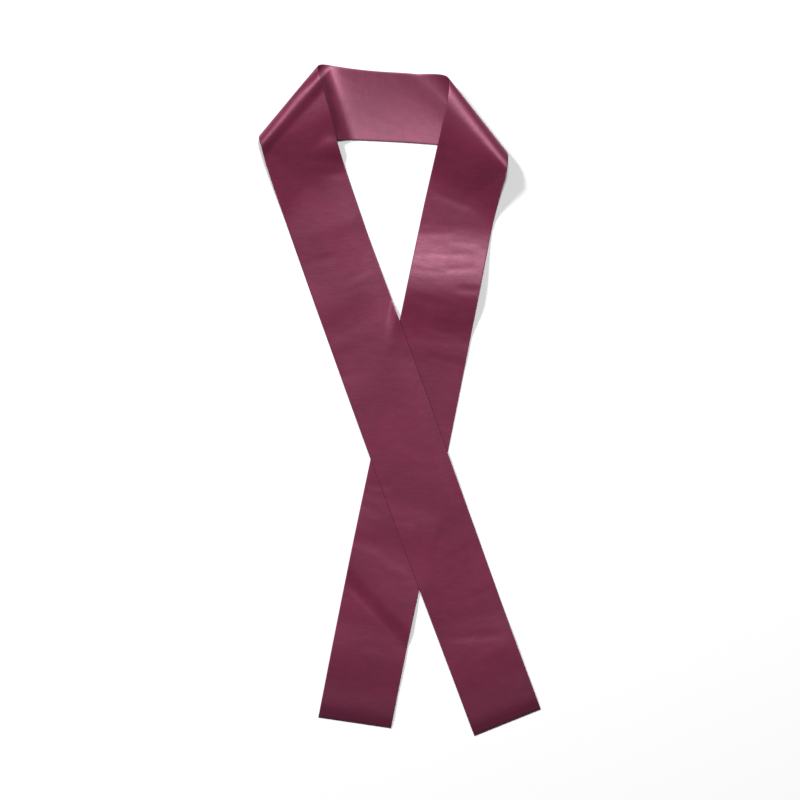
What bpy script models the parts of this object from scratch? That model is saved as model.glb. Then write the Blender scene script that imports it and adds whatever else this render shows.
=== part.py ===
"""A satin sash laid out on a table.

One long strip of doubled satin. Its middle is the neck band; at each end of the band the cloth
turns over on itself in a soft slanting roll, and the two tails come back down and cross, the left
one on top. Metres, +Z up. The origin is on the table, under the middle of the laid outline; +Y
runs from the tail ends up to the neck band, and +X to the right.
"""

import math

import bmesh
import bpy
import numpy as np

# Cloth
WALL = 0.0012  # two plies of satin pressed together
SEAM_GAP = 0.0005  # along the strip, between one stretch and the next
LAYER_GAP = 0.0010  # air between two stretches that lie on each other
REST = WALL / 2  # height of the cloth's middle where it lies on the table
ACROSS = 8  # faces across the strip
MM = 0.001

# The rolled folds. x, y: middle of the rolled edge. slant: direction of that edge, from the
# tail's outer edge up to the band's upper edge. depth: the roll's reach from that edge in to its
# crest, at the edge's lower and upper end, because the roll is a cone. height: of the crest above
# the table. waist: the share of that height at which the roll reaches furthest out. leaves: how far
# from the edge the band starts up from the table, at the same two ends. rise: how high it comes up
# over the distance rise_over. lift: what is left of that under the crest, at the same two ends. The
# reaches say where along the edge each side of the cloth enters and leaves the roll. drop: how far
# the tail falls behind the crest, and over what distance. hold, landing: how far from the edge it
# starts on its way down, and meets what is under it, at its two sides.
FOLD_COLUMNS = (
    "x", "y", "slant", "depth_lower", "depth_upper", "height", "waist",
    "leaves_lower", "leaves_upper", "rise", "rise_over", "lift_lower", "lift_upper",
    "band_lower", "band_upper", "tail_outer", "tail_inner",
    "drop", "drop_over", "hold_outer", "hold_inner", "landing_outer", "landing_inner",
)
FOLDS = {
    "left": (
        -134.4, 363.9, 50.1, 10.0, 13.5, 20.0, 0.38, 196.0, 2.0, 10.0, 28.0, 1.0, 14.0,
        -48.4, 66.5, -65.0, 44.0, 3.0, 12.0, 14.0, 64.0, 80.0, 120.0,
    ),
    "right": (
        94.4, 345.3, 128.3, 13.0, 25.0, 24.0, 0.48, 16.0, 48.0, 4.8, 23.0, 4.8, 4.8,
        -41.0, 84.0, -74.0, 34.0, 0.5, 20.0, 14.0, 50.0, 60.0, 116.0,
    ),
}

# The band at its middle: its two edges, its direction, and how far its upper edge stands up.
# Then the stretch, in distances from the left and the right rolled edge, over which that comes in.
BAND_COLUMNS = (
    "x", "upper_y", "lower_y", "heading", "upper_lift",
    "left_from", "left_to", "right_from", "right_to",
)
BAND = (-10.0, 398.1, 313.8, -3.0, 9.0, -10.0, 80.0, -50.0, 60.0)

# Soft corners, as shares of the slope that they end: those of a tail's way down, and of the band's
# rise. Then the corner where two layers meet, and the least run over which the band sinks again.
SLOPE_ROUND_OFF = 0.22
RISE_ROUND_OFF = 0.55
MEETING_ROUND_OFF = 0.0008
LEAST_RUN = 0.001

# How far a tail keeps clear past the edge of what it lies over, and the length over which it then
# eases back down to the table.
COVER_MARGIN = 3.0
EASE_OVER_BAND = 26.0
EASE_OVER_TAIL = 60.0

# The tails, one row for each section, from the fold to the end: the two edges in plan.
STRAIGHT_ROWS = 4  # the last rows, over which a tail runs straight
TAIL_COLUMNS = ("outer_x", "outer_y", "inner_x", "inner_y")
TAILS = {
    "front": (
        (-164.4, 291.6, -86.5, 354.5),
        (-156.5, 266.8, -77.0, 317.3),
        (-131.4, 194.4, -49.1, 230.6),
        (-88.2, 72.9, -2.9, 103.3),
        (-44.2, -48.6, 41.4, -18.5),
        (10.1, -194.4, 94.1, -164.3),
        (55.7, -316.0, 137.9, -286.0),
        (90.5, -408.6, 171.3, -376.1),
    ),
    "back": (
        (123.1, 254.8, 42.7, 296.8),
        (114.1, 218.5, 30.3, 242.8),
        (104.2, 170.1, 18.8, 188.2),
        (80.5, 48.6, -6.7, 66.9),
        (56.2, -73.0, -32.2, -54.7),
        (30.9, -194.6, -57.8, -176.3),
        (5.5, -316.2, -82.2, -297.9),
        (-11.0, -399.1, -99.4, -386.0),
    ),
}

# Soft ridges across the tails. at: distance from the tail's end, along its middle. height: how
# high the ridge stands. to_fold, to_end: how far its two slopes run. slant: degrees that it leans
# up towards the tail's inner edge. tilt: how much more there is of it at that edge, as a share.
# crown: the share of it that is gone at both edges.
RIDGE_COLUMNS = ("at", "height", "to_fold", "to_end", "slant", "tilt", "crown")
RIDGES = {
    "front": (
        (16.0, 1.2, 44.0, 16.0, 2.0, 0.1, 0.0),
        (92.0, 1.3, 50.0, 72.0, -6.0, 0.2, 0.0),
        (335.0, 0.6, 44.0, 60.0, 0.0, 0.3, 0.0),
        (432.0, 0.7, 44.0, 28.0, -6.0, 0.3, 0.0),
        (552.0, 0.6, 48.0, 36.0, 0.0, -0.2, 0.0),
    ),
    "back": (
        (15.0, 1.1, 36.0, 15.0, 0.0, 0.0, 0.0),
        (82.0, 1.1, 40.0, 62.0, 2.0, 0.0, 0.0),
        (155.0, 2.4, 86.0, 24.0, 36.0, -0.1, 0.0),
        (245.0, 0.7, 32.0, 36.0, 0.0, 0.0, 0.0),
        (533.0, 7.2, 86.0, 62.0, -8.0, 0.0, 0.0),
    ),
}

RIDGE_FADE = 12.0  # how far past the tail's edges a ridge fades out

# Where the strip is divided, as shares of the way along the band's half and along each tail.
SEAM_ON_BAND = 0.72
SEAM_ON_TAIL = 0.10
STEP_ALONG = 0.010  # length of a face along the flat stretches
ROLL_STEPS = 14  # faces round each roll
ROLL_SAMPLES = 201  # points at which the way round a roll is measured
RAMP_STEPS = 6  # faces between the roll's crest and the seam on the tail

# Materials
SATIN_COLOUR = (0.150, 0.021, 0.050, 1.0)
SATIN_ROUGHNESS = 0.38


def row(columns, values):
    """A table's row as a dictionary."""
    return dict(zip(columns, values))


def unit(degrees):
    """The plan direction at that angle from +X."""
    return np.array([math.cos(math.radians(degrees)), math.sin(math.radians(degrees))])


def smooth(share):
    """0 to 1 with level ends."""
    share = np.clip(share, 0.0, 1.0)
    return share * share * (3.0 - 2.0 * share)


def even(share, round_off=SLOPE_ROUND_OFF):
    """0 to 1 with an even slope between soft corners."""
    return soft_max(share, 0.0, round_off) - soft_max(share - 1.0, 0.0, round_off)


def mix(low, high, share):
    """The value that lies that share of the way from low to high."""
    return low + (high - low) * share


def soft_max(a, b, blend=MEETING_ROUND_OFF):
    """The higher of two heights, rounded where they meet."""
    return 0.5 * (a + b + np.sqrt((a - b) ** 2 + blend**2))


class Fold:
    """A rolled fold in plan: its edge line, and the way in from it."""

    def __init__(self, side):
        fold = row(FOLD_COLUMNS, FOLDS[side])
        self.middle = np.array([fold["x"], fold["y"]]) * MM
        self.along = unit(fold["slant"])
        turn = -90.0 if side == "left" else 90.0
        self.inward = unit(fold["slant"] + turn)
        self.depths = (fold["depth_lower"] * MM, fold["depth_upper"] * MM)
        self.crest, self.waist = fold["height"] * MM, fold["waist"]
        self.lifts = (fold["lift_lower"] * MM, fold["lift_upper"] * MM)
        self.rise, self.rise_over = fold["rise"] * MM, fold["rise_over"] * MM
        self.leaves = (fold["leaves_lower"] * MM, fold["leaves_upper"] * MM)
        self.band_reach = np.array([fold["band_lower"], fold["band_upper"]]) * MM
        self.tail_reach = np.array([fold["tail_outer"], fold["tail_inner"]]) * MM
        self.ends = (self.tail_reach[0], self.band_reach[1])
        self.drop, self.drop_over = fold["drop"] * MM, fold["drop_over"] * MM
        self.hold = (fold["hold_outer"] * MM, fold["hold_inner"] * MM)
        self.landing = (fold["landing_outer"] * MM, fold["landing_inner"] * MM)

    def between(self, two, reach):
        """The value at distances along the edge, from the two at its ends."""
        share = (reach - self.ends[0]) / (self.ends[1] - self.ends[0])
        return mix(two[0], two[1], np.clip(share, 0, 1))

    def depth(self, reach):
        """How far the roll reaches in from its edge, at distances along that edge."""
        return self.between(self.depths, reach)

    def point(self, reach, inset):
        """Plan points at those distances along the rolled edge and in from it."""
        reach, inset = np.broadcast_arrays(reach, inset)
        return self.middle + reach[..., None] * self.along + inset[..., None] * self.inward

    def place(self, plan):
        """How far plan points lie along the rolled edge and in from it."""
        return (plan - self.middle) @ self.along, (plan - self.middle) @ self.inward


LEFT, RIGHT = Fold("left"), Fold("right")


class Tail:
    """One tail in plan: its edges as smooth curves from the fold's crest to its end."""

    def __init__(self, name, fold):
        self.name, self.fold = name, fold
        table = row(TAIL_COLUMNS, np.transpose(TAILS[name]) * MM)
        start = fold.point(fold.tail_reach, fold.depth(fold.tail_reach))
        self.outer = np.vstack([start[0], np.column_stack([table["outer_x"], table["outer_y"]])])
        self.inner = np.vstack([start[1], np.column_stack([table["inner_x"], table["inner_y"]])])
        middle = (self.outer + self.inner) / 2
        steps = np.linalg.norm(np.diff(middle, axis=0), axis=1)
        self.knots = np.concatenate([[0.0], np.cumsum(steps)])
        self.length = self.knots[-1]
        self.end = middle[-1]
        straight = middle[-1] - middle[-STRAIGHT_ROWS]
        self.axis = straight / np.linalg.norm(straight)
        width = self.inner[-1] - self.outer[-1]
        square = np.array([-self.axis[1], self.axis[0]])
        self.across = square * np.sign(width @ square)
        self.half_width = width @ self.across / 2

    def edge(self, points, at):
        """A smooth curve through an edge's points, at distances from the crest."""
        slopes = np.gradient(points, self.knots, axis=0)
        place = np.clip(np.searchsorted(self.knots, at, side="right") - 1, 0, len(points) - 2)
        span = (self.knots[place + 1] - self.knots[place])[..., None]
        t = (at[..., None] - self.knots[place][..., None]) / span
        p0, p1, m0, m1 = points[place], points[place + 1], slopes[place], slopes[place + 1]
        return (
            (2 * t**3 - 3 * t**2 + 1) * p0
            + (t**3 - 2 * t**2 + t) * span * m0
            + (-2 * t**3 + 3 * t**2) * p1
            + (t**3 - t**2) * span * m1
        )

    def plan(self, at, share):
        """Plan points at distances from the crest, and shares of the way across from the outer edge."""
        at, share = np.broadcast_arrays(np.asarray(at, float), np.asarray(share, float))
        return mix(self.edge(self.outer, at), self.edge(self.inner, at), share[..., None])

    def place(self, plan):
        """(distance from the end, distance from the middle towards the inner edge) of plan points."""
        offset = plan - self.end
        return -(offset @ self.axis), offset @ self.across

    def ridges(self, plan):
        """Height that the soft ridges add."""
        from_end, aside = self.place(plan)
        inside = smooth(1 - (self.outside(plan) - COVER_MARGIN * MM) / (RIDGE_FADE * MM))
        total = np.zeros(from_end.shape)
        for values in RIDGES[self.name]:
            ridge = row(RIDGE_COLUMNS, values)
            lean = math.tan(math.radians(ridge["slant"]))
            away = from_end - ridge["at"] * MM - lean * aside
            away = np.where(away > 0, away / ridge["to_fold"], -away / ridge["to_end"]) / MM
            side = aside / self.half_width
            size = ridge["height"] * MM * (1 + ridge["tilt"] * side - ridge["crown"] * side**2)
            total += size * smooth(1 - away)
        return total * inside

    def ramp(self, plan):
        """Height of the cloth above the table on its way down from the roll's crest."""
        fold = self.fold
        reach, inset = fold.place(plan)
        side = np.clip((reach - fold.tail_reach[0]) / np.ptp(fold.tail_reach), 0, 1)
        hold, landing = mix(*fold.hold, side), mix(*fold.landing, side)
        dropped = fold.drop * smooth((inset - fold.depth(reach)) / fold.drop_over)
        down = (inset - hold) / (landing - hold)
        return (fold.crest - REST) * (1 - even(down)) - dropped * (1 - smooth(down))

    def own_height(self, plan):
        """Height of the cloth's middle with nothing under it but the table."""
        return REST + self.ramp(plan) + self.ridges(plan)

    def outside(self, plan):
        """How far plan points lie outside this tail's two long edges."""
        return np.abs(self.place(plan)[1]) - self.half_width


FRONT, BACK = Tail("front", LEFT), Tail("back", RIGHT)


class Band:
    """The neck band between the two rolls."""

    def __init__(self):
        band = row(BAND_COLUMNS, BAND)
        self.heading = unit(band["heading"])
        self.upper = np.array([band["x"], band["upper_y"]]) * MM
        self.lower = np.array([band["x"], band["lower_y"]]) * MM
        self.upper_lift = band["upper_lift"] * MM
        self.comes_in = {
            LEFT: np.array([band["left_from"], band["left_to"]]) * MM,
            RIGHT: np.array([band["right_from"], band["right_to"]]) * MM,
        }
        self.middle = (self.upper + self.lower) / 2
        self.up = np.array([-self.heading[1], self.heading[0]])
        self.half_width = (self.upper - self.lower) @ self.up / 2

    def plan(self, fold, at, share):
        """Plan points at a share of the way from the band's middle to a roll, and across it."""
        at, share = np.broadcast_arrays(np.asarray(at, float), np.asarray(share, float))
        at, share = at[..., None], share[..., None]
        start = mix(self.lower, self.upper, share)
        ends = fold.point(fold.band_reach, fold.depth(fold.band_reach))
        end = mix(ends[0], ends[1], share)
        way = self.heading if fold is RIGHT else -self.heading
        bend = start + way * np.linalg.norm(end - start, axis=-1, keepdims=True) / 2
        return (1 - at) ** 2 * start + 2 * at * (1 - at) * bend + at**2 * end

    def length(self, fold):
        """Distance from the band's middle to a roll, half way up."""
        return np.linalg.norm(self.plan(fold, 1.0, 0.5) - self.plan(fold, 0.0, 0.5))

    def height(self, plan):
        """Height of the cloth's middle: its upper edge stands up, and its ends rise."""
        up = np.clip(((plan - self.middle) @ self.up / self.half_width + 1) / 2, 0, 1)
        loose = 1.0
        rising = 0.0
        for fold in (LEFT, RIGHT):
            reach, inset = fold.place(plan)
            start, full = self.comes_in[fold]
            loose = loose * smooth((inset - start) / (full - start))
            crest_at = fold.depth(reach)
            leaves = fold.between(fold.leaves, reach)
            risen = even((leaves - inset) / fold.rise_over, RISE_ROUND_OFF)
            level_run = np.maximum(leaves - fold.rise_over - crest_at, LEAST_RUN)
            sunk = smooth((leaves - fold.rise_over - inset) / level_run)
            lift = np.minimum(fold.between(fold.lifts, reach), fold.rise)
            rising = rising + fold.rise * risen - (fold.rise - lift) * sunk
        return REST + self.upper_lift * up**2 * loose + rising

    def outside(self, plan):
        """How far plan points lie outside the band's two long edges."""
        return np.abs((plan - self.middle) @ self.up) - self.half_width


NECK = Band()


def laid_over(own, under, outside, reach):
    """A stretch's height where it lies over another one, easing down past that one's edge."""
    cover = smooth(1 - (outside - COVER_MARGIN * MM) / (reach * MM))
    raised = soft_max(own, under + WALL + LAYER_GAP)
    return mix(own, raised, cover)


def tail_height(tail, plan):
    """Height of a tail's middle over all that lies under it."""
    height = laid_over(
        tail.own_height(plan), NECK.height(plan), NECK.outside(plan), EASE_OVER_BAND
    )
    if tail is FRONT:
        height = laid_over(height, tail_height(BACK, plan), BACK.outside(plan), EASE_OVER_TAIL)
    return height


def roll(tail, turn, share):
    """Points round a roll. turn runs from -1 at the band to 1 at the crest."""
    fold = tail.fold
    turn, share = np.broadcast_arrays(np.asarray(turn, float), np.asarray(share, float))
    angles = np.linspace(-math.pi / 2, math.pi / 2, ROLL_SAMPLES)
    speed = np.hypot(np.mean(fold.depths) * np.sin(angles), fold.crest / 2 * np.cos(angles))
    travelled = np.concatenate([[0.0], np.cumsum((speed[1:] + speed[:-1]) / 2)])
    angle = turn * math.pi / 2
    wound = np.interp(angle, angles, travelled / travelled[-1])
    band_side = mix(fold.band_reach[0], fold.band_reach[1], share)
    tail_side = mix(fold.tail_reach[0], fold.tail_reach[1], share)
    reach = mix(band_side, tail_side, wound)
    plan = fold.point(reach, fold.depth(reach) * (1 - np.cos(angle)))
    low = NECK.height(fold.point(band_side, fold.depth(band_side)))
    high = tail_height(tail, fold.point(tail_side, fold.depth(tail_side)))
    turned = np.sin(angle)
    up = np.where(turned < 0, fold.waist * (1 + turned), mix(fold.waist, 1.0, turned))
    return np.concatenate([plan, mix(low, high, up)[..., None]], axis=-1)


def tail_points(tail, at, share):
    """Middle points of a tail, at distances from the crest and shares of the way across."""
    plan = tail.plan(at, share)
    return np.concatenate([plan, tail_height(tail, plan)[..., None]], axis=-1)


def band_points(fold, at, share):
    """Middle points of the band's half that runs to that fold."""
    plan = NECK.plan(fold, at, share)
    return np.concatenate([plan, NECK.height(plan)[..., None]], axis=-1)


def stretches():
    """Each stretch's name and its grid of middle points, from the front tail's end to the back's."""
    share = np.linspace(0.0, 1.0, ACROSS + 1)
    half_gap = SEAM_GAP / 2

    def tail_rows(tail):
        start = SEAM_ON_TAIL * tail.length + half_gap
        count = round((tail.length - start) / STEP_ALONG)
        at = np.linspace(start, tail.length, count + 1)
        return tail_points(tail, at[:, None], share)

    def fold_rows(tail):
        fold = tail.fold
        seam = SEAM_ON_BAND + half_gap / NECK.length(fold)
        band_at = np.linspace(seam, 1.0, RAMP_STEPS + 1)
        tail_at = np.linspace(0.0, SEAM_ON_TAIL * tail.length - half_gap, RAMP_STEPS + 1)
        turns = np.linspace(-1.0, 1.0, ROLL_STEPS + 1)
        return np.concatenate([
            band_points(fold, band_at[:-1, None], share),
            roll(tail, turns[:, None], share),
            tail_points(tail, tail_at[1:, None], share),
        ])

    def band_rows():
        rows = []
        for fold in (LEFT, RIGHT):
            length = NECK.length(fold)
            count = round(length * SEAM_ON_BAND / STEP_ALONG)
            at = np.linspace(0.0, SEAM_ON_BAND - half_gap / length, count + 1)
            rows.append(band_points(fold, at[:, None], share))
        return np.concatenate([rows[0][::-1], rows[1][1:]])

    return {
        "front_tail": tail_rows(FRONT)[::-1],
        "left_fold": fold_rows(FRONT)[::-1],
        "neck_band": band_rows(),
        "right_fold": fold_rows(BACK),
        "back_tail": tail_rows(BACK),
    }


def satin():
    """The sash's satin."""
    material = bpy.data.materials.new("satin")
    material.use_nodes = True
    shader = material.node_tree.nodes["Principled BSDF"]
    shader.inputs["Base Color"].default_value = SATIN_COLOUR
    shader.inputs["Roughness"].default_value = SATIN_ROUGHNESS
    return material


def cloth(name, points, material):
    """A stretch of cloth: a flat grid, laid on its middle points and given its thickness."""
    rows, columns = points.shape[:2]
    mesh = bpy.data.meshes.new(name)
    shape = bmesh.new()
    bmesh.ops.create_grid(shape, x_segments=columns - 1, y_segments=rows - 1, size=1.0)
    for vertex in shape.verts:
        column = round((vertex.co.x + 1) / 2 * (columns - 1))
        line = round((vertex.co.y + 1) / 2 * (rows - 1))
        vertex.co = points[line, column]
    for edge in shape.edges:
        edge.smooth = not edge.is_boundary
    shape.to_mesh(mesh)
    shape.free()
    mesh.shade_smooth()
    mesh.materials.append(material)
    stretch = bpy.data.objects.new(name, mesh)
    bpy.context.scene.collection.objects.link(stretch)
    wall = stretch.modifiers.new("wall", "SOLIDIFY")
    wall.thickness = WALL
    wall.offset = 0.0
    return stretch


def build():
    """Makes every stretch of the sash."""
    for old in list(bpy.data.objects):
        bpy.data.objects.remove(old)
    material = satin()
    return [cloth(name, points, material) for name, points in stretches().items()]


build()
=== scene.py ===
"""The looks of a satin sash that is laid out on a table."""

import math

import bmesh
import bpy
import numpy as np
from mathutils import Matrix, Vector


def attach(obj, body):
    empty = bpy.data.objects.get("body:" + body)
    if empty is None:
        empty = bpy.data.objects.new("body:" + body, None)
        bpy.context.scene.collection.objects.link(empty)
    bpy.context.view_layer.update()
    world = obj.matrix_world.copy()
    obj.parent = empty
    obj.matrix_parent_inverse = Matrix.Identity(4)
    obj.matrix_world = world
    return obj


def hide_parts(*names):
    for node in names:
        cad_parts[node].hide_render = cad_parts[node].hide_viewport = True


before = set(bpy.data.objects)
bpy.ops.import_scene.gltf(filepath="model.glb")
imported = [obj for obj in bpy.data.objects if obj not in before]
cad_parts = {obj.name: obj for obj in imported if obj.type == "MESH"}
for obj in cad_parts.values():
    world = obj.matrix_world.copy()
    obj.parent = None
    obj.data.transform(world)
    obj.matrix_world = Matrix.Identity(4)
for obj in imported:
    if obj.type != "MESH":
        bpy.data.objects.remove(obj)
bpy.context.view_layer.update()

# The camera, straight above the sash with a long lens. The photograph's frame is 973 mm wide
# where it meets the table.
LENS_MM = 300.0
SENSOR_MM = 36.0
FRAME_WIDTH = 0.9728

lens = bpy.data.cameras.new("camera")
lens.lens = LENS_MM
lens.sensor_width = SENSOR_MM
camera = bpy.data.objects.new("camera", lens)
camera.location = (0.0, 0.0, FRAME_WIDTH * LENS_MM / SENSOR_MM)
bpy.context.scene.collection.objects.link(camera)
bpy.context.scene.camera = camera

# The table: a plain pale board, painted matt, far wider than the sash.
TABLE_HALF = 6.0
TABLE_COLOUR = (0.75, 0.75, 0.75, 1.0)
TABLE_ROUGHNESS = 0.9
TABLE_SHINE = 0.0

top = bmesh.new()
bmesh.ops.create_grid(top, x_segments=1, y_segments=1, size=TABLE_HALF)
table_mesh = bpy.data.meshes.new("table")
top.to_mesh(table_mesh)
top.free()
table = bpy.data.objects.new("table", table_mesh)
bpy.context.scene.collection.objects.link(table)
paint = bpy.data.materials.new("table_paint")
paint.use_nodes = True
painted = paint.node_tree.nodes["Principled BSDF"]
painted.inputs["Base Color"].default_value = TABLE_COLOUR
painted.inputs["Roughness"].default_value = TABLE_ROUGHNESS
painted.inputs["Specular IOR Level"].default_value = TABLE_SHINE
table_mesh.materials.append(paint)

# The light: a soft key from the upper left, which makes the shadows, a soft light past the neck
# band, which alone shows in the satin's shine, and a low white fill from all round.
LIGHT_COLUMNS = ("azimuth", "from_straight_up", "distance", "size", "watts", "in_shine")
LIGHTS = {
    "key": (133.0, 57.0, 8.0, 1.4, 700.0, False),
    "top": (84.0, 25.0, 6.0, 1.0, 300.0, True),
}
FILL_COLOUR = (1.0, 1.0, 1.0, 1.0)
FILL_STRENGTH = 0.10

for name, values in LIGHTS.items():
    light = dict(zip(LIGHT_COLUMNS, values))
    lamp = bpy.data.lights.new(name, "AREA")
    lamp.shape = "DISK"
    lamp.size = light["size"]
    lamp.energy = light["watts"]
    stand = bpy.data.objects.new(name, lamp)
    turn, lean = math.radians(light["azimuth"]), math.radians(light["from_straight_up"])
    way = Vector((math.sin(lean) * math.cos(turn), math.sin(lean) * math.sin(turn), math.cos(lean)))
    stand.location = way * light["distance"]
    stand.rotation_euler = way.to_track_quat("Z", "Y").to_euler()
    stand.visible_glossy = light["in_shine"]
    bpy.context.scene.collection.objects.link(stand)

room = bpy.data.worlds.new("room")
room.use_nodes = True
room.node_tree.nodes["Background"].inputs["Color"].default_value = FILL_COLOUR
room.node_tree.nodes["Background"].inputs["Strength"].default_value = FILL_STRENGTH
bpy.context.scene.world = room
bpy.context.scene.view_settings.view_transform = "Standard"

# The sash: one panel of polyester satin, folded lengthwise, sewn down its long side and across its
# ends, turned and pressed. It lies loose on the table. Its middle is the neck band, and at each end
# of the band it turns over on itself in a soft slanting roll, so that its two tails come back down
# and cross, the left one on top. Sizes are in millimetres and degrees, down to the satin.
MM = 0.001
BOTH_PLIES = 1.2  # through the pressed strip
REST = BOTH_PLIES / 2  # height of the cloth's middle where it lies on the table
LAYER_GAP = 0.5  # air between two stretches that lie on each other

# Soft corners: those of a tail's way down, as a share of it, and the one where two layers meet.
SLOPE_ROUND_OFF = 0.22
MEETING_ROUND_OFF = 0.8


def row(columns, values):
    """A table's row as a dictionary."""
    return dict(zip(columns, values))


def unit(degrees):
    """The plan direction at that angle from +X."""
    return np.array([math.cos(math.radians(degrees)), math.sin(math.radians(degrees))])


def smooth(share):
    """0 to 1 with level ends."""
    share = np.clip(share, 0.0, 1.0)
    return share * share * (3.0 - 2.0 * share)


def even(share, round_off=SLOPE_ROUND_OFF):
    """0 to 1 with an even slope between soft corners."""
    return soft_max(share, 0.0, round_off) - soft_max(share - 1.0, 0.0, round_off)


def mix(low, high, share):
    """The value that lies that share of the way from low to high."""
    return low + (high - low) * share


def soft_max(a, b, blend=MEETING_ROUND_OFF):
    """The higher of two heights, rounded where they meet."""
    return 0.5 * (a + b + np.sqrt((a - b) ** 2 + blend**2))


# The two rolled folds. x, y: middle of the rolled edge. slant: direction of that edge, from the
# tail's outer edge up to the band's upper edge. depth: the roll's reach from that edge in to its
# crest, at the edge's lower and upper end, because the roll is a cone. height: of the crest above
# the table. waist: the share of that height at which the roll reaches furthest out. leaves: how far
# from the edge the band starts up from the table, at the same two ends. rise: how high it comes up
# over the distance rise_over. lift: what is left of that under the crest, at the same two ends. The
# reaches say where along the edge each side of the cloth enters and leaves the roll. drop: how far
# the tail falls behind the crest, and over what distance. hold, landing: how far from the edge it
# starts on its way down, and meets what is under it, at its two sides.
FOLD_COLUMNS = (
    "x", "y", "slant", "depth_lower", "depth_upper", "height", "waist",
    "leaves_lower", "leaves_upper", "rise", "rise_over", "lift_lower", "lift_upper",
    "band_lower", "band_upper", "tail_outer", "tail_inner",
    "drop", "drop_over", "hold_outer", "hold_inner", "landing_outer", "landing_inner",
)
FOLDS = {
    "left": (
        -134.4, 363.9, 50.1, 10.0, 13.5, 20.0, 0.38, 196.0, 2.0, 10.0, 28.0, 1.0, 14.0,
        -48.4, 66.5, -65.0, 44.0, 3.0, 12.0, 14.0, 64.0, 80.0, 120.0,
    ),
    "right": (
        94.4, 345.3, 128.3, 13.0, 25.0, 24.0, 0.48, 16.0, 48.0, 4.8, 23.0, 4.8, 4.8,
        -41.0, 84.0, -74.0, 34.0, 0.5, 20.0, 14.0, 50.0, 60.0, 116.0,
    ),
}


class Fold:
    """A rolled fold in plan: its edge line, and the way in from it."""

    def __init__(self, side):
        fold = row(FOLD_COLUMNS, FOLDS[side])
        self.middle = np.array([fold["x"], fold["y"]])
        self.along = unit(fold["slant"])
        turn = -90.0 if side == "left" else 90.0
        self.inward = unit(fold["slant"] + turn)
        self.depths = (fold["depth_lower"], fold["depth_upper"])
        self.crest, self.waist = fold["height"], fold["waist"]
        self.lifts = (fold["lift_lower"], fold["lift_upper"])
        self.rise, self.rise_over = fold["rise"], fold["rise_over"]
        self.leaves = (fold["leaves_lower"], fold["leaves_upper"])
        self.band_reach = np.array([fold["band_lower"], fold["band_upper"]])
        self.tail_reach = np.array([fold["tail_outer"], fold["tail_inner"]])
        self.ends = (self.tail_reach[0], self.band_reach[1])
        self.drop, self.drop_over = fold["drop"], fold["drop_over"]
        self.hold = (fold["hold_outer"], fold["hold_inner"])
        self.landing = (fold["landing_outer"], fold["landing_inner"])

    def between(self, two, reach):
        """The value at distances along the edge, from the two at its ends."""
        share = (reach - self.ends[0]) / (self.ends[1] - self.ends[0])
        return mix(two[0], two[1], np.clip(share, 0, 1))

    def depth(self, reach):
        """How far the roll reaches in from its edge, at distances along that edge."""
        return self.between(self.depths, reach)

    def point(self, reach, inset):
        """Plan points at those distances along the rolled edge and in from it."""
        reach, inset = np.broadcast_arrays(reach, inset)
        return self.middle + reach[..., None] * self.along + inset[..., None] * self.inward

    def place(self, plan):
        """How far plan points lie along the rolled edge and in from it."""
        return (plan - self.middle) @ self.along, (plan - self.middle) @ self.inward


LEFT, RIGHT = Fold("left"), Fold("right")

# The tails, one row for each section, from the fold to the end: the two edges in plan.
STRAIGHT_ROWS = 4  # the last rows, over which a tail runs straight
TAIL_COLUMNS = ("outer_x", "outer_y", "inner_x", "inner_y")
TAILS = {
    "front": (
        (-164.4, 291.6, -86.5, 354.5),
        (-156.5, 266.8, -77.0, 317.3),
        (-131.4, 194.4, -49.1, 230.6),
        (-88.2, 72.9, -2.9, 103.3),
        (-44.2, -48.6, 41.4, -18.5),
        (10.1, -194.4, 94.1, -164.3),
        (55.7, -316.0, 137.9, -286.0),
        (90.5, -408.6, 171.3, -376.1),
    ),
    "back": (
        (123.1, 254.8, 42.7, 296.8),
        (114.1, 218.5, 30.3, 242.8),
        (104.2, 170.1, 18.8, 188.2),
        (80.5, 48.6, -6.7, 66.9),
        (56.2, -73.0, -32.2, -54.7),
        (30.9, -194.6, -57.8, -176.3),
        (5.5, -316.2, -82.2, -297.9),
        (-11.0, -399.1, -99.4, -386.0),
    ),
}

# Soft ridges across the tails. at: distance from the tail's end, along its middle. height: how
# high the ridge stands. to_fold, to_end: how far its two slopes run. slant: degrees that it leans
# up towards the tail's inner edge. tilt: how much more there is of it at that edge, as a share.
RIDGE_COLUMNS = ("at", "height", "to_fold", "to_end", "slant", "tilt")
RIDGES = {
    "front": (
        (16.0, 1.2, 44.0, 16.0, 2.0, 0.1),
        (92.0, 1.3, 50.0, 72.0, -6.0, 0.2),
        (222.0, 0.4, 34.0, 24.0, 8.0, 0.2),
        (335.0, 0.6, 44.0, 60.0, 0.0, 0.3),
        (432.0, 0.7, 44.0, 28.0, -6.0, 0.3),
        (552.0, 0.6, 48.0, 36.0, 0.0, -0.2),
        (640.0, 0.2, 34.0, 30.0, 0.0, 0.3),
    ),
    "back": (
        (15.0, 1.1, 36.0, 15.0, 0.0, 0.0),
        (82.0, 1.1, 40.0, 62.0, 2.0, 0.0),
        (155.0, 2.4, 86.0, 24.0, 36.0, -0.1),
        (245.0, 0.7, 32.0, 36.0, 0.0, 0.0),
        (470.0, 0.8, 34.0, 28.0, 2.0, 0.0),
        (533.0, 7.2, 86.0, 62.0, -8.0, 0.0),
    ),
}
RIDGE_FADE = 12.0  # how far past the tail's edges a ridge fades out

# How far a tail keeps clear past the edge of what it lies over, and the length over which it then
# eases back down to the table.
COVER_MARGIN = 3.0
EASE_OVER_BAND = 26.0
EASE_OVER_TAIL = 60.0

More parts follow.
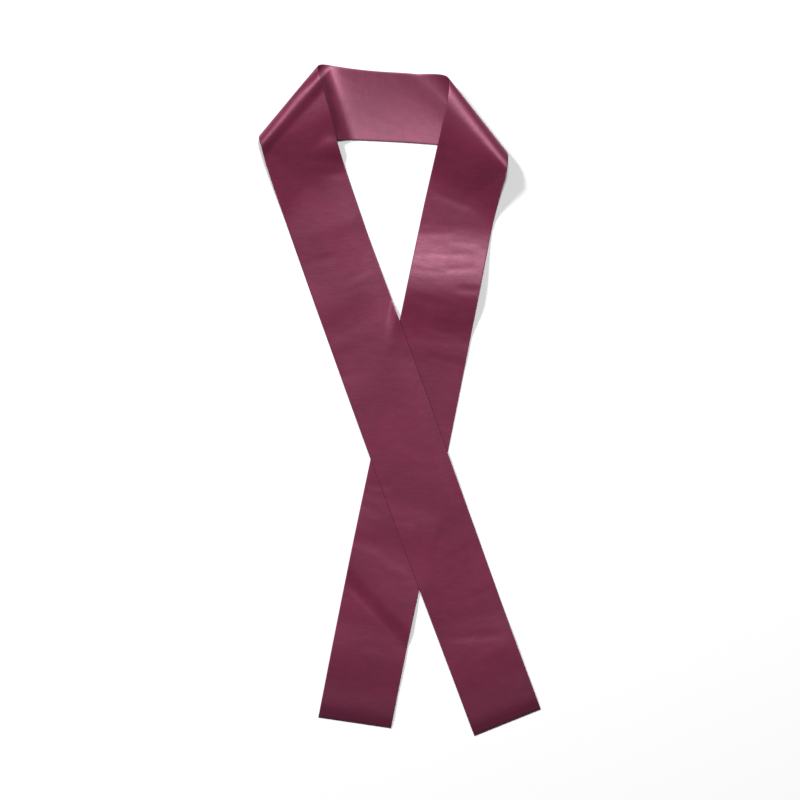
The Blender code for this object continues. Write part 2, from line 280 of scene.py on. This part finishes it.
# Finer creases, which stop short of the edges. at and aside: the middle of the crease, from the
# tail's end and from its middle towards the inner edge. reach: how far it runs to either side.
# slant: as above. height: below 0 for a trough. width: from its line to where it fades out.
# CREASE_HOLD: how firmly a crease keeps its height before it fades at its two ends.
CREASE_HOLD = 1.6
CREASE_COLUMNS = ("at", "aside", "reach", "slant", "height", "width")
CREASES = {
    "front": (
        (702.0, 26.0, 30.0, -20.0, -0.24, 9.0),
        (638.0, 11.0, 52.0, 0.0, 0.12, 16.0),
        (606.0, -18.0, 30.0, -6.0, -0.15, 9.0),
        (566.0, 18.0, 30.0, 5.0, 0.1, 10.0),
        (502.0, -15.0, 42.0, 3.0, 0.24, 15.0),
        (462.0, -31.0, 26.0, -9.0, -0.18, 9.0),
        (414.0, -4.0, 48.0, -4.0, -0.27, 9.0),
        (396.0, 15.0, 34.0, -7.0, 0.17, 9.0),
        (358.0, 0.0, 46.0, 1.0, 0.21, 12.0),
        (301.0, -19.0, 34.0, 4.0, -0.11, 10.0),
        (262.0, 6.0, 36.0, -5.0, 0.12, 12.0),
        (211.0, 0.0, 42.0, 8.0, -0.27, 9.0),
        (184.0, -21.0, 28.0, 12.0, 0.12, 8.0),
        (158.0, 23.0, 24.0, 2.0, -0.15, 8.0),
        (112.0, -3.0, 46.0, -16.0, -0.27, 9.0),
        (86.0, 12.0, 30.0, 6.0, 0.18, 11.0),
    ),
    "back": (
        (646.0, 7.0, 40.0, 10.0, -0.33, 10.0),
        (603.0, 23.0, 34.0, -12.0, -0.12, 7.0),
        (592.0, -12.0, 26.0, -4.0, 0.11, 7.0),
        (579.0, 12.0, 40.0, -9.0, -0.12, 6.0),
        (566.0, -15.0, 26.0, -14.0, -0.17, 7.0),
        (556.0, 24.0, 28.0, -4.0, -0.1, 6.0),
        (543.0, -30.0, 20.0, -8.0, -0.36, 8.0),
        (520.0, 14.0, 32.0, 4.0, -0.36, 9.0),
        (505.0, -12.0, 34.0, -3.0, 0.18, 8.0),
        (488.0, -7.0, 28.0, 3.0, -0.24, 7.0),
        (454.0, -21.0, 28.0, 3.0, -0.21, 8.0),
        (288.0, 30.0, 18.0, -6.0, -0.21, 8.0),
        (268.0, 31.0, 24.0, 4.0, 0.15, 10.0),
        (252.0, -8.0, 24.0, -8.0, -0.13, 8.0),
        (218.0, 30.0, 26.0, 4.0, -0.3, 14.0),
        (192.0, -8.0, 26.0, 14.0, 0.21, 11.0),
        (145.0, 10.0, 44.0, 34.0, -0.6, 13.0),
        (92.0, -11.0, 30.0, 8.0, -0.13, 9.0),
    ),
}

# Between them the satin is never quite flat: it has many low ripples, each a little different.
# Where two numbers stand, they are the least and the most.
RIPPLES = 90
RIPPLE_HEIGHT = 0.06
RIPPLE_ASIDE = 45.0
RIPPLE_REACH = (14.0, 46.0)
RIPPLE_WIDTH = (5.0, 15.0)
RIPPLE_SLANT = 16.0
RIPPLE_SEEDS = {"front": 12, "back": 11}


def ripple_rows(length, seed):
    """Rows of low ripples for a stretch of that length, in the creases' columns."""
    draw = np.random.default_rng(seed)
    return [
        (
            draw.uniform(0.0, length),
            draw.uniform(-RIPPLE_ASIDE, RIPPLE_ASIDE),
            draw.uniform(*RIPPLE_REACH),
            draw.uniform(-RIPPLE_SLANT, RIPPLE_SLANT),
            draw.uniform(-RIPPLE_HEIGHT, RIPPLE_HEIGHT),
            draw.uniform(*RIPPLE_WIDTH),
        )
        for _ in range(RIPPLES)
    ]


def creased(rows, at, aside):
    """Height that the creases in those rows add, at distances along a stretch and across it."""
    total = np.zeros(np.shape(at))
    for values in rows:
        crease = row(CREASE_COLUMNS, values)
        across = (aside - crease["aside"]) / crease["reach"]
        lean = math.tan(math.radians(crease["slant"]))
        off = (at - crease["at"] - lean * (aside - crease["aside"])) / crease["width"]
        held = smooth(CREASE_HOLD * (1 - np.abs(across)))
        total += crease["height"] * smooth(1 - np.abs(off)) * held
    return total


class Tail:
    """One tail in plan: its edges as smooth curves from the fold's crest to its end."""

    def __init__(self, name, fold):
        self.name, self.fold = name, fold
        table = row(TAIL_COLUMNS, np.transpose(TAILS[name]))
        start = fold.point(fold.tail_reach, fold.depth(fold.tail_reach))
        self.outer = np.vstack([start[0], np.column_stack([table["outer_x"], table["outer_y"]])])
        self.inner = np.vstack([start[1], np.column_stack([table["inner_x"], table["inner_y"]])])
        middle = (self.outer + self.inner) / 2
        steps = np.linalg.norm(np.diff(middle, axis=0), axis=1)
        self.knots = np.concatenate([[0.0], np.cumsum(steps)])
        self.length = self.knots[-1]
        self.end = middle[-1]
        straight = middle[-1] - middle[-STRAIGHT_ROWS]
        self.axis = straight / np.linalg.norm(straight)
        width = self.inner[-1] - self.outer[-1]
        square = np.array([-self.axis[1], self.axis[0]])
        self.across = square * np.sign(width @ square)
        self.half_width = width @ self.across / 2
        self.creases = list(CREASES[name]) + ripple_rows(self.length, RIPPLE_SEEDS[name])

    def edge(self, points, at):
        """A smooth curve through an edge's points, at distances from the crest."""
        slopes = np.gradient(points, self.knots, axis=0)
        place = np.clip(np.searchsorted(self.knots, at, side="right") - 1, 0, len(points) - 2)
        span = (self.knots[place + 1] - self.knots[place])[..., None]
        t = (at[..., None] - self.knots[place][..., None]) / span
        p0, p1, m0, m1 = points[place], points[place + 1], slopes[place], slopes[place + 1]
        return (
            (2 * t**3 - 3 * t**2 + 1) * p0
            + (t**3 - 2 * t**2 + t) * span * m0
            + (-2 * t**3 + 3 * t**2) * p1
            + (t**3 - t**2) * span * m1
        )

    def plan(self, at, share):
        """Plan points at distances from the crest, and shares of the way in from the outer edge."""
        at, share = np.broadcast_arrays(np.asarray(at, float), np.asarray(share, float))
        return mix(self.edge(self.outer, at), self.edge(self.inner, at), share[..., None])

    def place(self, plan):
        """(distance from the end, distance from the middle towards the inner edge) of plan points."""
        offset = plan - self.end
        return -(offset @ self.axis), offset @ self.across

    def ridges(self, plan):
        """Height that the soft ridges and the creases add."""
        from_end, aside = self.place(plan)
        inside = smooth(1 - (self.outside(plan) - COVER_MARGIN) / RIDGE_FADE)
        total = np.zeros(from_end.shape)
        for values in RIDGES[self.name]:
            ridge = row(RIDGE_COLUMNS, values)
            lean = math.tan(math.radians(ridge["slant"]))
            away = from_end - ridge["at"] - lean * aside
            away = np.where(away > 0, away / ridge["to_fold"], -away / ridge["to_end"])
            side = aside / self.half_width
            size = ridge["height"] * (1 + ridge["tilt"] * side)
            total += size * smooth(1 - away)
        return (total + creased(self.creases, from_end, aside)) * inside

    def ramp(self, plan):
        """Height of the cloth above the table on its way down from the roll's crest."""
        fold = self.fold
        reach, inset = fold.place(plan)
        side = np.clip((reach - fold.tail_reach[0]) / np.ptp(fold.tail_reach), 0, 1)
        hold, landing = mix(*fold.hold, side), mix(*fold.landing, side)
        dropped = fold.drop * smooth((inset - fold.depth(reach)) / fold.drop_over)
        down = (inset - hold) / (landing - hold)
        return (fold.crest - REST) * (1 - even(down)) - dropped * (1 - smooth(down))

    def own_height(self, plan):
        """Height of the cloth's middle with nothing under it but the table."""
        return REST + self.ramp(plan) + self.ridges(plan)

    def outside(self, plan):
        """How far plan points lie outside this tail's two long edges."""
        return np.abs(self.place(plan)[1]) - self.half_width


FRONT, BACK = Tail("front", LEFT), Tail("back", RIGHT)

# The band at its middle: its two edges, its direction, and how far its upper edge stands up.
# Then the stretch, in distances from the left and the right rolled edge, over which that comes in.
BAND_COLUMNS = (
    "x", "upper_y", "lower_y", "heading", "upper_lift",
    "left_from", "left_to", "right_from", "right_to",
)
BAND = (-10.0, 398.1, 313.8, -3.0, 9.0, -10.0, 80.0, -50.0, 60.0)
RISE_ROUND_OFF = 0.55  # the soft corners of the band's rise, as a share of it
LEAST_RUN = 1.0  # shortest length over which the band sinks back to the lift


class Band:
    """The neck band between the two rolls."""

    def __init__(self):
        band = row(BAND_COLUMNS, BAND)
        self.heading = unit(band["heading"])
        self.upper = np.array([band["x"], band["upper_y"]])
        self.lower = np.array([band["x"], band["lower_y"]])
        self.upper_lift = band["upper_lift"]
        self.comes_in = {
            LEFT: (band["left_from"], band["left_to"]),
            RIGHT: (band["right_from"], band["right_to"]),
        }
        self.middle = (self.upper + self.lower) / 2
        self.up = np.array([-self.heading[1], self.heading[0]])
        self.half_width = (self.upper - self.lower) @ self.up / 2

    def plan(self, fold, at, share):
        """Plan points at a share of the way from the band's middle to a roll, and across it."""
        at, share = np.broadcast_arrays(np.asarray(at, float), np.asarray(share, float))
        at, share = at[..., None], share[..., None]
        start = mix(self.lower, self.upper, share)
        ends = fold.point(fold.band_reach, fold.depth(fold.band_reach))
        end = mix(ends[0], ends[1], share)
        way = self.heading if fold is RIGHT else -self.heading
        bend = start + way * np.linalg.norm(end - start, axis=-1, keepdims=True) / 2
        return (1 - at) ** 2 * start + 2 * at * (1 - at) * bend + at**2 * end

    def length(self, fold):
        """Distance from the band's middle to a roll, half way up."""
        return np.linalg.norm(self.plan(fold, 1.0, 0.5) - self.plan(fold, 0.0, 0.5))

    def height(self, plan):
        """Height of the cloth's middle: its upper edge stands up, and its ends rise."""
        up = np.clip(((plan - self.middle) @ self.up / self.half_width + 1) / 2, 0, 1)
        loose = 1.0
        rising = 0.0
        for fold in (LEFT, RIGHT):
            reach, inset = fold.place(plan)
            start, full = self.comes_in[fold]
            loose = loose * smooth((inset - start) / (full - start))
            crest_at = fold.depth(reach)
            leaves = fold.between(fold.leaves, reach)
            risen = even((leaves - inset) / fold.rise_over, RISE_ROUND_OFF)
            level_run = np.maximum(leaves - fold.rise_over - crest_at, LEAST_RUN)
            sunk = smooth((leaves - fold.rise_over - inset) / level_run)
            lift = np.minimum(fold.between(fold.lifts, reach), fold.rise)
            rising = rising + fold.rise * risen - (fold.rise - lift) * sunk
        return REST + self.upper_lift * up**2 * loose + rising

    def outside(self, plan):
        """How far plan points lie outside the band's two long edges."""
        return np.abs((plan - self.middle) @ self.up) - self.half_width


NECK = Band()

ROLL_SAMPLES = 201  # points at which the way round a roll is measured


def laid_over(own, under, outside, reach):
    """A stretch's height where it lies over another one, easing down past that one's edge."""
    cover = smooth(1 - (outside - COVER_MARGIN) / reach)
    raised = soft_max(own, under + BOTH_PLIES + LAYER_GAP)
    return mix(own, raised, cover)


def tail_height(tail, plan):
    """Height of a tail's middle over all that lies under it."""
    height = laid_over(
        tail.own_height(plan), NECK.height(plan), NECK.outside(plan), EASE_OVER_BAND
    )
    if tail is FRONT:
        height = laid_over(height, tail_height(BACK, plan), BACK.outside(plan), EASE_OVER_TAIL)
    return height


def roll(tail, turn, share):
    """Points round a roll. turn runs from -1 at the band to 1 at the crest."""
    fold = tail.fold
    turn, share = np.broadcast_arrays(np.asarray(turn, float), np.asarray(share, float))
    angles = np.linspace(-math.pi / 2, math.pi / 2, ROLL_SAMPLES)
    speed = np.hypot(np.mean(fold.depths) * np.sin(angles), fold.crest / 2 * np.cos(angles))
    travelled = np.concatenate([[0.0], np.cumsum((speed[1:] + speed[:-1]) / 2)])
    angle = turn * math.pi / 2
    wound = np.interp(angle, angles, travelled / travelled[-1])
    band_side = mix(fold.band_reach[0], fold.band_reach[1], share)
    tail_side = mix(fold.tail_reach[0], fold.tail_reach[1], share)
    reach = mix(band_side, tail_side, wound)
    plan = fold.point(reach, fold.depth(reach) * (1 - np.cos(angle)))
    low = NECK.height(fold.point(band_side, fold.depth(band_side)))
    high = tail_height(tail, fold.point(tail_side, fold.depth(tail_side)))
    turned = np.sin(angle)
    up = np.where(turned < 0, fold.waist * (1 + turned), mix(fold.waist, 1.0, turned))
    return np.concatenate([plan, mix(low, high, up)[..., None]], axis=-1)


# The strip itself is a flat tube with two pressed edges and two closed ends: a grid that is wrapped
# round into that tube, thin at its edges and ends.
STEP_ALONG = 2.4  # length of a face along the strip
ROLL_STEPS = 26  # faces round each roll
ACROSS = 34  # faces across the flat of one ply
PRESSED_EDGE = 1.4  # width over which an edge rounds off
EDGE_STEPS = 3  # faces over that width
SAME_PLACE = 1e-6  # metres, for the doubled points at the edges


def across_shares():
    """Shares of the way across one ply, close together at its two rounded edges."""
    width = 2 * FRONT.half_width
    flat = np.linspace(PRESSED_EDGE, width - PRESSED_EDGE, ACROSS + 1)
    round_off = PRESSED_EDGE * (1 - np.cos(np.linspace(0, math.pi / 2, EDGE_STEPS + 1)[:-1]))
    return np.concatenate([round_off, flat, width - round_off[::-1]]) / width


def strip_rows(share):
    """The cloth's middle points, row by row from the front tail's end to the back tail's."""

    def tail_rows(tail):
        at = np.linspace(0.0, tail.length, round(tail.length / STEP_ALONG) + 1)[1:]
        plan = tail.plan(at[:, None], share)
        return np.concatenate([plan, tail_height(tail, plan)[..., None]], axis=-1)

    def band_rows(fold):
        at = np.linspace(0.0, 1.0, round(NECK.length(fold) / STEP_ALONG) + 1)[:-1]
        plan = NECK.plan(fold, at[:, None], share)
        return np.concatenate([plan, NECK.height(plan)[..., None]], axis=-1)

    turns = np.linspace(-1.0, 1.0, ROLL_STEPS + 1)[:, None]
    return np.concatenate([
        tail_rows(FRONT)[::-1],
        roll(FRONT, turns, share)[::-1],
        band_rows(LEFT)[::-1],
        band_rows(RIGHT)[1:],
        roll(BACK, turns, share),
        tail_rows(BACK),
    ])


share = across_shares()
middle = strip_rows(share)
run = np.linalg.norm(np.diff(middle, axis=0), axis=2)
run = np.concatenate([np.zeros((1, len(share))), np.cumsum(run, axis=0)])
aside = share * 2 * FRONT.half_width
from_edge = np.minimum(aside, aside[::-1])
from_end = np.minimum(run, run[-1] - run)
square_row = np.argmin(np.abs(middle[:, 0, 0] - BAND[0]))  # the row that runs square across
along = run - run[square_row]


def rounded(distance):
    """0 at a pressed edge to 1 where its rounding ends."""
    left = 1 - np.clip(distance / PRESSED_EDGE, 0, 1)
    return np.sqrt(1 - left**2)


side_way = np.gradient(middle, axis=1)
long_way = np.gradient(middle, axis=0)
normal = np.cross(side_way, long_way)
normal /= np.linalg.norm(normal, axis=-1, keepdims=True)
half = rounded(from_edge)[None, :] * rounded(from_end) * BOTH_PLIES / 2
upper_ply = middle + normal * half[..., None]
lower_ply = middle - normal * half[..., None]
lower_ply[..., 2] = np.maximum(lower_ply[..., 2], 0.0)
tube = np.concatenate([upper_ply, lower_ply[:, ::-1]], axis=1) * MM
around = np.concatenate([aside, aside[-1] + aside]) * MM
along = np.concatenate([along, along[:, ::-1]], axis=1) * MM
to_ends = np.concatenate([from_end, from_end[:, ::-1]], axis=1) * MM

shape = bmesh.new()
cut = shape.loops.layers.uv.new("cut")
end_distance = shape.verts.layers.float.new("from_end")
lines, columns = tube.shape[:2]
bmesh.ops.create_grid(shape, x_segments=columns - 1, y_segments=lines - 1, size=1.0)
places = {}
for vertex in shape.verts:
    column = round((vertex.co.x + 1) / 2 * (columns - 1))
    line = round((vertex.co.y + 1) / 2 * (lines - 1))
    vertex.co = tube[line, column]
    places[vertex.index] = (around[column], along[line, column])
    vertex[end_distance] = to_ends[line, column]
for face in shape.faces:
    for loop in face.loops:
        loop[cut].uv = places[loop.vert.index]
bmesh.ops.remove_doubles(shape, verts=shape.verts, dist=SAME_PLACE)
for face in shape.faces:
    face.smooth = True
bmesh.ops.recalc_face_normals(shape, faces=shape.faces)
sash_mesh = bpy.data.meshes.new("sash_cloth")
shape.to_mesh(sash_mesh)
shape.free()
sash = bpy.data.objects.new("sash_cloth", sash_mesh)
bpy.context.scene.collection.objects.link(sash)

# The satin: plum polyester. Its long floats run along the strip, so its shine spreads further
# across the strip than along it. Sizes from here on are in metres.
SATIN_COLOUR = (0.122, 0.0148, 0.038, 1.0)
SATIN_DEEP_AND_SHADE = (0.058, 0.007, 0.020, 1.0)  # where it is thicker or took more dye, and painted shade towards the closed ends
SATIN_PALE_AND_HIGHLIGHT = (0.200, 0.045, 0.085, 1.0)  # on its picks, and a painted highlight along the pressed edges
SATIN_TINT = (1.0, 0.47, 0.63, 1.0)  # of its shine
SATIN_ROUGHNESS = (0.425, 0.450)
ROUGHNESS_CLOUDS = (0.3, 0.7)  # the clouds' noise where it is smoothest and roughest
SATIN_SHINE = 1.0
SATIN_IOR = 1.5
ALONG_THREADS = 0.66  # how much further the shine spreads one way than the other
CLOTH_RELIEF = 0.00012  # depth of the cloth's soft unevenness
THREAD_RELIEF = 0.00002  # depth of its threads

# What shows in the weave, as soft noise: its size across and along the strip, its detail, and the
# place in the noise where it starts. Floats run along the strip and picks across it. The clouds
# and the broad clouds are slight changes in how the satin took the dye.
WEAVE_COLUMNS = ("across", "along", "detail", "start")
WEAVE = {
    "Floats": (0.0009, 0.030, 2.0, 3.0),
    "Picks": (0.022, 0.0012, 2.0, 17.0),
    "Clouds": (0.012, 0.012, 3.0, 29.0),
    "Broad": (0.07, 0.07, 1.0, 5.0),
}

satin = bpy.data.materials.new("satin")
satin.use_nodes = True
weave = bpy.data.node_groups.new("satin_weave", "ShaderNodeTree")
weave.interface.new_socket("Cut", in_out="INPUT", socket_type="NodeSocketVector")
for name in (*WEAVE, "Height"):
    weave.interface.new_socket(name, in_out="OUTPUT", socket_type="NodeSocketFloat")
entry, result = weave.nodes.new("NodeGroupInput"), weave.nodes.new("NodeGroupOutput")


def streaks(name):
    """One row of the weave, as noise from 0 to 1."""
    made = row(WEAVE_COLUMNS, WEAVE[name])
    stretch = weave.nodes.new("ShaderNodeMapping")
    stretch.inputs["Scale"].default_value = (1 / made["across"], 1 / made["along"], 1.0)
    stretch.inputs["Location"].default_value = (made["start"], made["start"], 0.0)
    noise = weave.nodes.new("ShaderNodeTexNoise")
    noise.noise_dimensions = "2D"
    noise.inputs["Scale"].default_value = 1.0
    noise.inputs["Detail"].default_value = made["detail"]
    weave.links.new(entry.outputs["Cut"], stretch.inputs["Vector"])
    weave.links.new(stretch.outputs["Vector"], noise.inputs["Vector"])
    weave.links.new(noise.outputs["Fac"], result.inputs[name])
    return noise.outputs["Fac"]


noises = {name: streaks(name) for name in WEAVE}
raised = weave.nodes.new("ShaderNodeMath")
raised.operation = "ADD"
weave.links.new(noises["Floats"], raised.inputs[0])
weave.links.new(noises["Picks"], raised.inputs[1])
weave.links.new(raised.outputs[0], result.inputs["Height"])

nodes, links = satin.node_tree.nodes, satin.node_tree.links
shader = nodes["Principled BSDF"]
shader.inputs["Specular IOR Level"].default_value = SATIN_SHINE
shader.inputs["IOR"].default_value = SATIN_IOR
shader.inputs["Specular Tint"].default_value = SATIN_TINT
shader.inputs["Anisotropic"].default_value = ALONG_THREADS
across_threads = nodes.new("ShaderNodeTangent")
across_threads.direction_type = "UV_MAP"
across_threads.uv_map = "cut"
links.new(across_threads.outputs["Tangent"], shader.inputs["Tangent"])

cut_map = nodes.new("ShaderNodeUVMap")
cut_map.uv_map = "cut"
woven = nodes.new("ShaderNodeGroup")
woven.node_tree = weave
links.new(cut_map.outputs["UV"], woven.inputs["Cut"])


def ranged(source, low, high, to_low, to_high):
    """A value carried from one range to another, held at its ends."""
    carried = nodes.new("ShaderNodeMapRange")
    for socket, value in (
        ("From Min", low), ("From Max", high), ("To Min", to_low), ("To Max", to_high),
    ):
        carried.inputs[socket].default_value = value
    links.new(source, carried.inputs["Value"])
    return carried.outputs["Result"]


def blended(amount, first, second):
    """Two colours, each a value or a socket, mixed by an amount."""
    blend = nodes.new("ShaderNodeMix")
    blend.data_type = "RGBA"
    links.new(amount, blend.inputs["Factor"])
    for socket, colour in (("A", first), ("B", second)):
        target = next(i for i in blend.inputs if i.name == socket and i.type == "RGBA")
        if isinstance(colour, tuple):
            target.default_value = colour
        else:
            links.new(colour, target)
    return next(o for o in blend.outputs if o.type == "RGBA")


def relief(height, depth):
    """A Bump node of that depth."""
    bump = nodes.new("ShaderNodeBump")
    bump.inputs["Strength"].default_value = 1.0
    bump.inputs["Distance"].default_value = depth
    links.new(height, bump.inputs["Height"])
    return bump


# Distances for the painted highlight and shade: from the nearest pressed edge, and from the nearest
# closed end.
apart = nodes.new("ShaderNodeSeparateXYZ")
links.new(cut_map.outputs["UV"], apart.inputs["Vector"])
to_edge = nodes.new("ShaderNodeMath")
to_edge.operation = "PINGPONG"
to_edge.inputs[1].default_value = FRONT.half_width * MM
links.new(apart.outputs["X"], to_edge.inputs[0])
to_end = nodes.new("ShaderNodeAttribute")
to_end.attribute_name = "from_end"

# The shades that lie over the satin's colour, in their order: those of the weave, then a painted
# highlight, a fine pale line along the two pressed edges, then painted shade that darkens the satin
# towards its two closed ends. none, full: the noise or the distance where there is none of a shade,
# and where there is most of it. most: how much that is.
SHADE_COLUMNS = ("of", "none", "full", "most", "colour")
SHADES = (
    (woven.outputs["Broad"], 0.35, 0.65, 0.28, SATIN_DEEP_AND_SHADE),
    (woven.outputs["Clouds"], 0.35, 0.70, 0.20, SATIN_DEEP_AND_SHADE),
    (woven.outputs["Floats"], 0.40, 0.75, 0.16, SATIN_DEEP_AND_SHADE),
    (woven.outputs["Picks"], 0.45, 0.80, 0.12, SATIN_PALE_AND_HIGHLIGHT),
    # Painted highlight: a fine pale line along the two pressed edges.
    (to_edge.outputs[0], 0.0022, 0.00088, 0.14, SATIN_PALE_AND_HIGHLIGHT),
    # Painted shade: the satin turns darker towards each closed end, in two steps.
    (to_end.outputs["Fac"], 0.0286, 0.0026, 0.85, SATIN_DEEP_AND_SHADE),
    (to_end.outputs["Fac"], 0.095, 0.0285, 0.50, SATIN_DEEP_AND_SHADE),
)

shaded = SATIN_COLOUR
for values in SHADES:
    shade = row(SHADE_COLUMNS, values)
    amount = ranged(shade["of"], shade["none"], shade["full"], 0.0, shade["most"])
    shaded = blended(amount, shaded, shade["colour"])
links.new(shaded, shader.inputs["Base Color"])
rough = ranged(woven.outputs["Clouds"], *ROUGHNESS_CLOUDS, *SATIN_ROUGHNESS)
links.new(rough, shader.inputs["Roughness"])

uneven = relief(woven.outputs["Clouds"], CLOTH_RELIEF)
threads = relief(woven.outputs["Height"], THREAD_RELIEF)
links.new(uneven.outputs["Normal"], threads.inputs["Normal"])
links.new(threads.outputs["Normal"], shader.inputs["Normal"])
sash_mesh.materials.append(satin)

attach(sash, "root")
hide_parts("neck_band", "left_fold", "right_fold", "front_tail", "back_tail")
